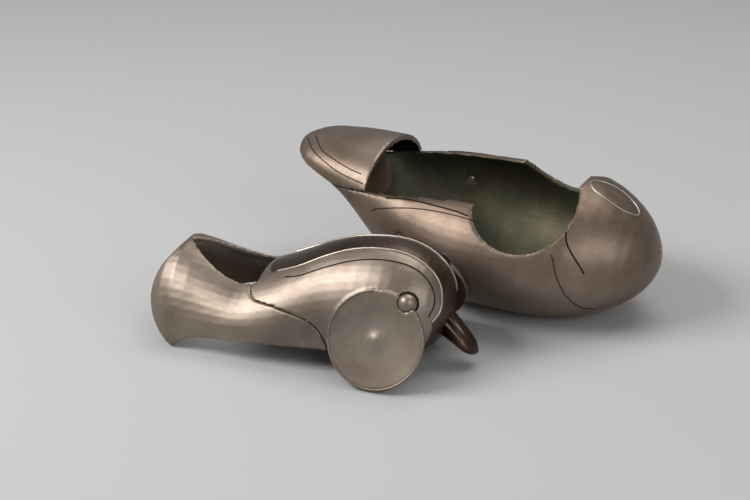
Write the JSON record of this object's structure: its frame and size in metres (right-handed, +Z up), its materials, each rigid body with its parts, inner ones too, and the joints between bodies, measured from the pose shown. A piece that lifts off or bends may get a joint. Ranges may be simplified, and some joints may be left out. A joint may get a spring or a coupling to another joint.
{
  "type": "duck incense burner",
  "caption": "Bronze incense burner shaped as a resting duck, in two castings: an open bowl with a tail hood, and a winged cover that stands beside it.",
  "frame": {"origin": "on the underside of the bowl's flat foot, on its centre plane, at the floor", "axes": "+X from the duck's tail to its breast, +Z up; the cover stands on the -Y side of the bowl"},
  "size_m": [0.3064, 0.2559, 0.1011],
  "materials": {
    "bowl_hull": "satin brown patina, cast bronze",
    "tail_hood": "satin brown patina, cast bronze",
    "core_plug_left": "dull bronze plug",
    "core_plug_right": "dull bronze plug",
    "left_wing": "satin brown patina, cast bronze",
    "right_wing": "satin brown patina, cast bronze",
    "head_shell": "satin brown patina, cast bronze",
    "bill": "dark brown patina",
    "left_eye": "polished bronze stud",
    "right_eye": "polished bronze stud"
  },
  "bodies": {
    "bowl": {"bowl_hull": "bowl_hull", "tail_hood": "tail_hood", "core_plug_left": "core_plug_left", "core_plug_right": "core_plug_right"},
    "cover": {"left_wing": "left_wing", "right_wing": "right_wing", "head_shell": "head_shell", "bill": "bill", "left_eye": "left_eye", "right_eye": "right_eye"}
  },
  "joints": [
    {"name": "cover_lift", "type": "slide", "parent": "bowl", "child": "cover", "axis": [0, -0.35, 0.9367], "range_m": [0, 0.12]}
  ]
}
